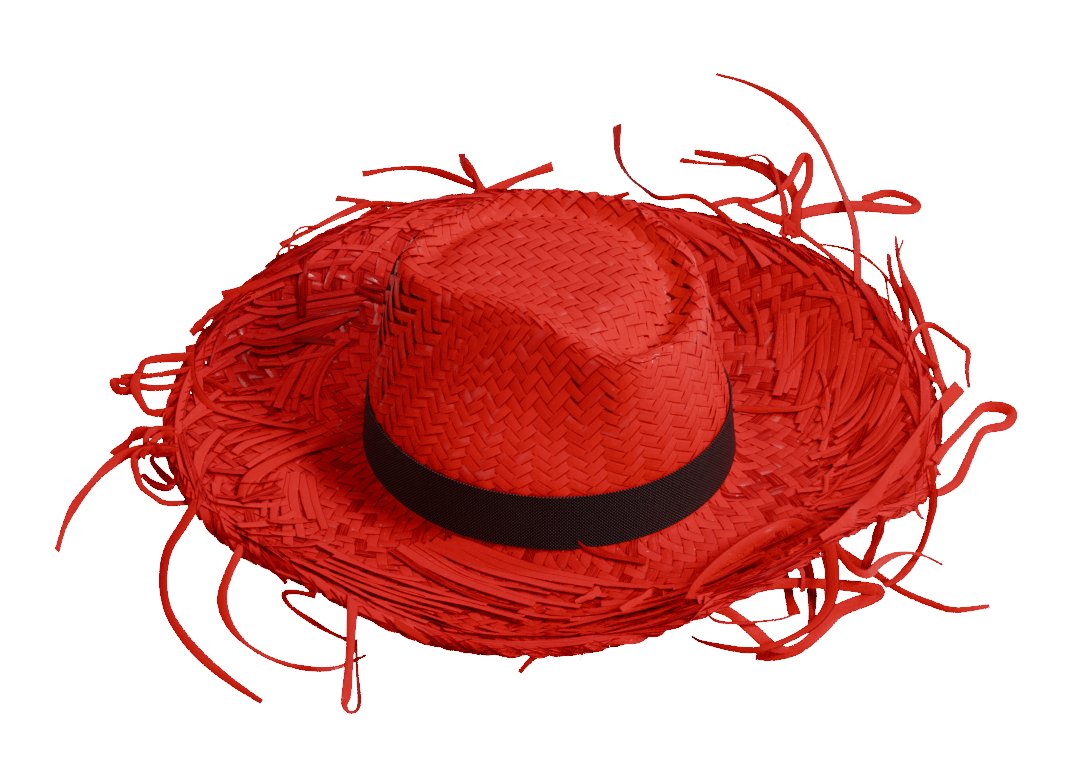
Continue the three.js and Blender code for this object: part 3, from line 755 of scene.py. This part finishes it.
def splice_parts():
    parts = []
    for first, last, count, aside, full, bend in FANS:
        for i in range(count):
            f = (i + chance.uniform(-0.4, 0.4)) / (count - 1)
            turn = first + (last - first) * f
            reach = oval(FOOT_LENGTH, FOOT_WIDTH, np.array(turn)) + SPLICE_OUT + chance.uniform(-4, 4)
            start = (reach * cos(radians(turn)), reach * sin(radians(turn)))
            length = SPLICE_LENGTH * full * chance.uniform(0.55, 1.1)
            heading = turn + aside + chance.normal(0, 10)
            line = bent_line(start, heading, length, [bend + chance.normal(0, 8)], 10)
            rise = 1.2 + 1.5 * np.linspace(0, 1, 11)**2 * chance.uniform(0.2, 1.6) + chance.uniform(0, 1.0)
            points, normals = laid(line, rise)
            width = SPLICE_WIDTH * chance.uniform(0.5, 1.05) * np.linspace(1, chance.uniform(0.6, 1), 11)
            roll, tone = chance.normal(0, 0.25), chance.uniform(0, 1)
            parts.append(strip_part(points, normals, width, LAID_THICKNESS, roll, tone))
    for count, widest, mean_tone, lowest, *ways in LONG_ENDS:
        first, last = np.array(ways, dtype=float)
        for i in range(count):
            f = i / (count - 1)
            way = first + (last - first) * f + chance.normal(0, 1.6, first.shape)
            line = smooth_line([brim_under(pixel, 1.0) for pixel in way])
            line = line[:int(len(line) * chance.uniform(0.6, 1))]
            along = np.linspace(0, 1, len(line))
            rise = lowest + 0.8 * along**2 * chance.uniform(0.1, 1.5) + chance.uniform(0, 0.3)
            points, normals = laid(line, rise)
            width = widest * chance.uniform(0.8, 1.15) * (1 - chance.uniform(0, 0.5) * along**2)
            tone = min(max(mean_tone + chance.normal(0, 0.25), 0), 1)
            roll = 0.15 + chance.normal(0, 0.2)
            parts.append(strip_part(points, normals, width, LAID_THICKNESS, roll, tone))
    return parts


splices = strip_piece("splice_ends", splice_parts(), splice_red)
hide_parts("splice_fringe")


# Hem
# The outer ends of the plait are turned along the edge and held under each other, a few at a time.
HEM_CLEARANCE = 0.4
HEM_CORE, CORE_STATIONS, HEM_WRAPS, HEM_STRIPS, MARGIN_STRIPS = (3.9, 1.3), 240, 150, 14, 84


def hem_centre(turn):
    turn = np.asarray(turn, dtype=float)

    def edge(at):
        reach, rise = hat_knots(at)[-1].T if np.ndim(at) else hat_knots(at)[-1]
        return placed(reach, at, rise)

    ahead, behind = edge(turn + 1), edge(turn - 1)
    out = np.stack([ahead[..., 1] - behind[..., 1], behind[..., 0] - ahead[..., 0], 0 * turn], axis=-1)
    out /= np.linalg.norm(out, axis=-1, keepdims=True)
    centre = edge(turn) + out * (HEM_CLEARANCE + HEM_WIDTH / 2) - [0, 0, WALL / 2]
    return centre, out


# Places round the hem, by the angle from its outer side up over its top, and the normals there
def on_hem(turn, angle, height):
    centre, out = hem_centre(turn)
    wide, high = (HEM_CORE[0] + height)[:, None], (HEM_CORE[1] + height)[:, None]
    c, s = np.cos(np.radians(angle))[:, None], np.sin(np.radians(angle))[:, None]
    normal = out * c / wide + np.array([0, 0, 1]) * s / high
    normal /= np.linalg.norm(normal, axis=1, keepdims=True)
    return centre + out * c * wide + np.array([0, 0, 1]) * s * high, normal


# The hem's core is in the shaded red, painted shade under the hem strips
def hem_core():
    turn = np.linspace(0, 360, CORE_STATIONS + 1)
    rings = [on_hem(turn, np.full(len(turn), angle), 0 * turn)[0] for angle in range(0, 360, 30)]
    points = np.stack(rings, axis=1)[:-1]
    corners = points.shape[1]
    faces = ring_faces(CORE_STATIONS, corners, closed=True)
    values = {"run": np.repeat(np.radians(turn[:-1]) * 190, corners)}
    values["across"] = values["tone"] = np.zeros(CORE_STATIONS * corners)
    return mesh_piece("hem_core", points.reshape(-1, 3), faces.tolist(), values, shaded_red)


def hem_parts():
    parts = []
    for i in range(HEM_WRAPS):
        start = 360 * (i + chance.uniform(-0.4, 0.4)) / HEM_WRAPS
        f = np.linspace(0, 1, 22)
        turn = start + f * chance.uniform(10, 17)
        angle = 186 - f * chance.uniform(205, 250)
        points, normals = on_hem(turn, angle, 0.25 + 0.5 * f)
        width, tone = chance.uniform(4.5, 6), chance.uniform(0, 1)
        parts.append(strip_part(points, normals, width, LAID_THICKNESS, STRIP_ROLL, tone))
    for i in range(HEM_STRIPS):
        start = 360 * (i + chance.uniform(-0.3, 0.3)) / HEM_STRIPS
        f = np.linspace(0, 1, 44)
        turn = start + f * chance.uniform(30, 70)
        angle = 165 - 130 * f + 28 * np.sin(f * chance.uniform(5, 10) + chance.uniform(0, 6))
        height = 0.5 + 0.9 * np.sin(np.pi * f) + 0.5 * np.sin(f * chance.uniform(8, 14) + i)
        points, normals = on_hem(turn, np.clip(angle, -20, 172), np.maximum(height, 0.4))
        parts.append(strip_part(points, normals, chance.uniform(4.2, 6), 0.35, chance.normal(0, 0.3),
                                chance.uniform(0, 1)))
    return parts + [margin_part(i) for i in range(MARGIN_STRIPS)]


# A strip that comes out of the plait well inside the hem, and runs aslant over the edge
def margin_part(i):
    f = np.linspace(0, 1, 30)
    way = 1 if chance.uniform() < 0.7 else -1
    turn = 360 * (i + chance.uniform(-0.5, 0.5)) / MARGIN_STRIPS + way * f * chance.uniform(14, 30)
    out = -chance.uniform(8, 26) * (1 - f)**1.3 + (HEM_CORE[0] + chance.uniform(0.4, 2.6)) * f
    on_brim, brim_normals = on_plait(2 + (out + HEM_CORE[0]) / brim_length, turn, 1.3)
    angle = np.degrees(np.arccos(np.clip(out / (HEM_CORE[0] + 0.6), -1, 1))) - 40 * f**6
    over, over_normals = on_hem(turn, angle, np.full(30, 0.7 + chance.uniform(0, 0.5)))
    inside = (out < -HEM_CORE[0])[:, None]
    line, normals = np.where(inside, on_brim, over), np.where(inside, brim_normals, over_normals)
    for _ in range(4):
        line[1:-1] = (line[:-2] + 2 * line[1:-1] + line[2:]) / 4
        normals[1:-1] = (normals[:-2] + 2 * normals[1:-1] + normals[2:]) / 4
    width = chance.uniform(4.5, 6.5) * (1 - chance.uniform(0, 0.4) * (1 - f)**3)
    return strip_part(line, normals, width, LAID_THICKNESS, chance.normal(0.1, 0.2), chance.uniform(0.2, 1))


hem = strip_piece("hem_strips", hem_parts(), splice_red)
for piece in (hem, hem_core()):
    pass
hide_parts("frayed_hem")


# Loose ends
# Strips that were not tucked into the hem, or have worked out of it, and curl away from the edge.
# Each way starts on the brim or hem. Its first places lie on it, and the rest come down to one height.
STRAND_DYE, TIPS = (0.66, 0.0001, 0.009), 34
STRAND_FULLNESS, STRAND_THICKNESS, NARROWEST, MOST_TWIST = 1.4, 0.8, 1.6, 0.7
strand_red = leaf_material("loose red leaf", STRAND_DYE, BRIM_DEEP_AND_SHADE, BRIM_WORN, wear=0.5, bare=0.1, varnish=0.1)
# Each row: how many places lie on the hat, the height of the tip, the widths, the tone and the way.
# Where all places lie on the hat the height is FLAT
FLAT = None
LOOSE_ENDS = [
    # Front right
    (5, 8, (5.6, 5.6, 4, 2), 0.9, [(690, 600), (700, 585), (720, 565), (745, 545), (770, 530), (790, 523),
        (805, 528), (830, 545), (870, 570), (900, 590), (930, 603), (955, 610), (990, 606)]),
    (1, 9, (5.2, 5.2, 6, 4), 0.8, [(698, 602), (745, 590), (790, 583), (840, 585), (876, 590), (872, 597),
        (840, 610), (825, 625), (810, 640), (795, 650), (775, 655), (756, 655)]),
    (1, 26, (4.6, 4.6), 0.7, [(766, 558), (785, 580), (790, 600), (795, 615)]),
    (1, 12, (5.2, 5, 3.6, 2.4, 1), 0.7, [(830, 545), (833, 570), (831, 598), (818, 620), (795, 636),
        (765, 648), (745, 650), (720, 646), (700, 641), (692, 636)]),
    (1, 14, (4.6, 4), 0.6, [(826, 546), (829, 572), (829, 600), (824, 627)]),
    (1, 16, (4.2, 4.2), 0.0, [(800, 540), (808, 570), (812, 590), (812, 625)]),
    (1, 30, (3, 3), 0.6, [(790, 552), (802, 572), (803, 592)]),
    (1, 10, (5.2, 5.2, 3), 0.8, [(704, 602), (725, 610), (740, 620), (755, 632), (770, 645), (785, 650),
        (800, 648)]),
    (1, 24, (1.5, 1.5, 1), 0.5, [(700, 604), (720, 622), (775, 620), (800, 612)]),
    (1, 14, (4.2, 4.2, 2, 1), 0.8, [(835, 545), (852, 568), (868, 574), (880, 563), (895, 555), (910, 553),
        (925, 556), (943, 565)]),
    (1, 20, (4.2, 4), 0.1, [(883, 516), (876, 540), (868, 560), (862, 578)]),
    (1, 12, (4.2, 4.2, 3.6), 0.6, [(930, 466), (933, 500), (930, 520), (922, 545), (910, 565), (898, 578),
        (884, 586)]),
    (7, FLAT, (6, 6.6, 6), 1.0, [(960, 386), (935, 415), (905, 455), (880, 490), (855, 515), (840, 528),
        (822, 540)]),
    (1, 44, (1.6, 1.2), 0.4, [(810, 538), (809, 550), (817, 557), (825, 551), (820, 544)]),
    # Right
    (1, 22, (5, 5, 5, 1), 0.7, [(947, 396), (938, 375), (930, 350), (922, 325), (915, 305), (905, 280),
        (898, 256), (896, 236)]),
    (1, 22, (4.2, 4.2, 4, 2), 0.2, [(932, 400), (925, 375), (915, 350), (908, 330), (903, 300), (895, 285),
        (890, 268), (889, 254)]),
    (1, 24, (1.5, 1.5, 1), 0.8, [(938, 382), (920, 322), (903, 280), (899, 256), (903, 240)]),
    (1, 28, (1.2, 1.2), 0.4, [(903, 344), (897, 330), (889, 300), (885, 278), (875, 265), (860, 254),
        (838, 247)]),
    (1, 30, (1.2, 1.2), 0.4, [(812, 243), (850, 250), (880, 270), (895, 290)]),
    (1, 10, (3, 3, 2), 0.5, [(908, 345), (918, 330), (930, 325), (945, 333), (960, 345), (968, 352),
        (967, 370), (969, 388)]),
    (1, 18, (4.6, 4.6, 4), 0.7, [(935, 462), (945, 448), (960, 432), (975, 415), (985, 407), (1003, 408),
        (1012, 414), (1006, 425), (985, 430), (976, 442), (968, 460), (958, 480), (945, 490), (934, 494)]),
    (3, FLAT, (3, 3), 0.0, [(938, 400), (940, 420), (938, 445)]),
    # Back right
    (1, 14, (5.2, 5, 4, 2), 0.7, [(858, 284), (856, 235), (848, 205), (838, 180), (822, 145), (800, 115),
        (775, 96), (745, 82), (716, 74)]),
    (1, 10, (4.2, 2.4, 2, 4.2), 0.5, [(735, 226), (710, 205), (690, 196), (660, 198), (643, 188),
        (628, 175), (618, 155), (617, 125)]),
    (1, 16, (5, 5.2, 5, 4), 0.8, [(782, 236), (796, 216), (850, 206), (908, 210), (915, 202), (890, 193),
        (862, 200)]),
    (1, 14, (4.6, 4.6, 3), 0.8, [(792, 236), (795, 200), (785, 180), (760, 165), (730, 158), (694, 152)]),
    (1, 12, (4.2, 4.2, 3), 0.5, [(788, 234), (783, 196), (768, 174), (745, 163), (730, 164), (705, 163),
        (680, 160)]),
    (1, 26, (2, 2, 1), 0.7, [(785, 234), (780, 190), (772, 165), (760, 155), (742, 158)]),
    (1, 24, (4.6, 4.6, 3.4, 3), 0.9, [(796, 238), (797, 205), (808, 182), (809, 161), (802, 158),
        (790, 180), (775, 193), (755, 201), (735, 200), (713, 205)]),
    (5, FLAT, (4.6, 4.6), 0.7, [(740, 203), (765, 215), (790, 225), (830, 255), (860, 280)]),
    # Back left
    (1, 14, (3.8, 3.6, 3.4, 3.2), 0.8, [(490, 206), (480, 190), (460, 180), (430, 170), (400, 168),
        (362, 174)]),
    (1, 20, (4.4, 4.4, 4.4), 0.6, [(410, 225), (440, 215), (470, 200), (498, 188), (520, 178), (553, 166)]),
    (1, 24, (3.6, 3.6), 0.9, [(494, 208), (480, 184), (464, 166), (462, 155)]),
    (1, 24, (3.4, 3), 0.6, [(486, 206), (476, 176), (460, 154)]),
    (1, 20, (5, 5, 5.2), 0.8, [(440, 226), (405, 220), (385, 212), (365, 202), (336, 198)]),
    (1, 18, (3.2, 3.2, 3), 0.7, [(452, 214), (420, 206), (385, 203), (365, 205), (340, 215), (310, 230),
        (280, 245)]),
    (1, 22, (2.6, 2.6), 0.5, [(345, 242), (352, 232), (365, 215), (385, 205)]),
    (1, 22, (1.2, 1.2), 0.6, [(288, 256), (291, 240), (300, 228), (320, 226)]),
    (1, 22, (1.2, 1.2), 0.6, [(288, 266), (299, 247), (281, 249), (274, 270), (284, 274)]),
    (3, FLAT, (4.6, 4.6), 0.1, [(304, 246), (303, 280), (302, 316)]),
    (3, FLAT, (4.6, 4.6), 0.9, [(300, 268), (258, 284), (222, 296)]),
    # Left
    (1, 12, (5.2, 5.2), 0.8, [(172, 430), (142, 432), (130, 440), (114, 456)]),
    (1, 6, (4.2, 4.2, 4, 3), 0.7, [(168, 446), (135, 450), (110, 465), (92, 483), (75, 505), (65, 525),
        (57, 551)]),
    (1, 22, (3.4, 3.4), 0.9, [(176, 432), (157, 428), (146, 440), (154, 452)]),
    (1, 22, (3.4, 3), 0.3, [(178, 446), (160, 450), (148, 446), (142, 458)]),
    (1, 22, (3.4, 3), 0.6, [(180, 438), (163, 434), (148, 446)]),
    (1, 18, (3.8, 3.8, 3.6), 0.7, [(178, 452), (150, 450), (135, 458), (137, 475), (142, 487), (155, 497),
        (167, 503), (194, 502)]),
    (1, 20, (3.4, 3.2), 0.0, [(172, 452), (152, 458), (160, 472), (172, 483), (168, 488), (154, 484),
        (142, 474)]),
    (1, 18, (4.2, 4.2), 0.7, [(194, 356), (150, 360), (140, 370), (135, 385), (140, 400), (150, 412),
        (174, 412)]),
    (1, 16, (3, 3), 0.5, [(196, 368), (155, 375), (120, 377)]),
    (1, 16, (3.6, 3.6), 0.9, [(196, 382), (155, 388), (125, 382), (113, 381), (118, 390), (132, 391)]),
    (1, 16, (4.4, 4.2), 0.5, [(236, 292), (210, 315), (191, 334)]),
    (7, FLAT, (4.6, 3.4, 3, 2.6), 1.0, [(190, 345), (192, 375), (200, 395), (215, 408), (240, 416),
        (270, 423), (300, 428)]),
    (3, FLAT, (2.6, 2.4), 0.9, [(205, 378), (225, 388), (240, 395)]),
    (6, FLAT, (4.6, 4.6), 1.0, [(240, 500), (248, 480), (270, 465), (300, 452), (330, 442), (345, 437)]),
    # Front left
    (1, 5, (4.8, 4.6, 4.2, 2.6), 0.6, [(198, 500), (183, 525), (168, 550), (163, 580), (168, 610),
        (184, 637), (205, 660), (232, 682), (262, 702)]),
    (1, 5, (4.8, 4.4, 2, 3, 1), 0.6, [(242, 546), (228, 575), (222, 600), (230, 625), (248, 645),
        (275, 660), (305, 668), (335, 668), (366, 655)]),
    (1, 10, (2.6, 2.4, 2), 0.4, [(316, 596), (296, 592), (284, 594), (290, 606), (310, 620), (330, 632),
        (352, 642)]),
    (1, 4, (4.4, 4, 2.4, 2), 0.6, [(353, 596), (350, 650), (347, 690), (345, 706), (352, 712), (359, 704),
        (357, 670), (356, 640)]),
    (4, FLAT, (3, 2.6), 1.0, [(735, 408), (765, 410), (800, 408), (818, 401)]),
    (4, FLAT, (5, 5.5), 1.0, [(622, 612), (640, 602), (654, 594), (664, 596)]),
    (3, FLAT, (2, 4.4), 1.0, [(575, 602), (590, 596), (600, 590)]),
    (3, 24, (3, 2.6), 0.3, [(646, 562), (612, 556), (590, 548), (574, 534), (563, 516)]),
]


def loose_parts():
    parts = []
    for lying, height, widths, tone, way in LOOSE_ENDS:
        places = [brim_under(pixel, 1.8) for pixel in way[:lying]]
        free, level = way[lying:], places[-1][2]
        for i, pixel in enumerate(free):
            places.append(under_pixel(pixel, level + (height - level) * (i + 1) / len(free)))
        line = smooth_line(places, 6)
        f = np.linspace(0, 1, len(line))
        full = STRAND_FULLNESS * np.interp(f, np.linspace(0, 1, len(widths)), widths)
        twist = chance.normal(0, 12) + chance.normal(0, 22) * f + 16 * np.sin(f * chance.uniform(5, 11))
        twist = np.radians(twist)
        normals = facing_normals(line, np.clip(twist, -MOST_TWIST, MOST_TWIST))
        curled = 1 - 0.25 * np.sin(f * chance.uniform(4, 9) + chance.uniform(0, 3))**2
        width = np.maximum(full * curled, NARROWEST)
        parts.append(strip_part(line, normals, width, STRAND_THICKNESS, 0.2 * twist, tone))
    return parts


# Short tips that stick out of the hem all round
def tip_part():
    turn = chance.uniform(0, 360)
    centre, out = hem_centre(turn)
    lean = chance.uniform(0.02, 0.35)
    way = out * lean + np.array([-out[1], out[0], 0]) * chance.choice([-1, 1]) * (1 - lean)
    f = np.linspace(0, 1, 9)[:, None]
    line = centre + out * 1.5 + way * f * chance.uniform(10, 34)
    line = line + np.array([0, 0, 1]) * (1.2 + chance.normal(0, 3) * f**2) + out * chance.normal(0, 4) * f**2
    width = chance.uniform(2, 5.5) * np.linspace(1, chance.uniform(0.2, 0.8), 9)
    normals = facing_normals(line, np.full(9, chance.normal(0, 0.4)))
    return strip_part(line, normals, width, LAID_THICKNESS, 0, chance.uniform(0, 1))


strands = strip_piece("loose_ends", loose_parts() + [tip_part() for _ in range(TIPS)], strand_red)


# Pale floor and soft studio light
# Neither is part of the hat.
FLOOR_GLOW, WORLD_GLOW = 40.0, 0.15
floor_mesh = bpy.data.meshes.new("floor")
floor_mesh.from_pydata([(-6, -6, 0), (6, -6, 0), (6, 6, 0), (-6, 6, 0)], [], [(0, 1, 2, 3)])
floor = bpy.data.objects.new("floor", floor_mesh)
bpy.context.scene.collection.objects.link(floor)
floor_paint, floor_nodes, floor_shader = new_material("pale floor")
floor_shader.inputs["Base Color"].default_value = (0.85, 0.85, 0.85, 1)
floor_shader.inputs["Roughness"].default_value = 0.9
floor_shader.inputs["Emission Color"].default_value = (1, 1, 1, 1)
seen = add_node(floor_nodes, "ShaderNodeLightPath").outputs["Is Camera Ray"]
wire(floor_nodes, times(floor_nodes, seen, FLOOR_GLOW), floor_shader.inputs["Emission Strength"])
floor_mesh.materials.append(floor_paint)

world = bpy.data.worlds.new("studio")
world.use_nodes = True
world.node_tree.nodes["Background"].inputs["Color"].default_value = (1, 1, 1, 1)
world.node_tree.nodes["Background"].inputs["Strength"].default_value = WORLD_GLOW
bpy.context.scene.world = world

# Each light has a name, a place in metres from the hat's axis, a size and a power
LIGHTS = [
    ("key", (0.28, 1.5, 1.27), 0.6, 35),
    ("top", (-0.9, 0.1, 1.8), 1.0, 9),
    ("gloss", (-0.72, 0.48, 1.8), 0.2, 6),
    ("fill", (1.3, -1.0, 1.3), 1.6, 8),
]
for name, place, size, power in LIGHTS:
    lamp = bpy.data.lights.new(name, "AREA")
    lamp.size, lamp.energy = size, power
    holder = bpy.data.objects.new(name, lamp)
    holder.location = Vector(place) + Vector((*hat_axis, 0))
    holder.rotation_euler = Vector(place).to_track_quat("Z", "Y").to_euler()
    bpy.context.scene.collection.objects.link(holder)
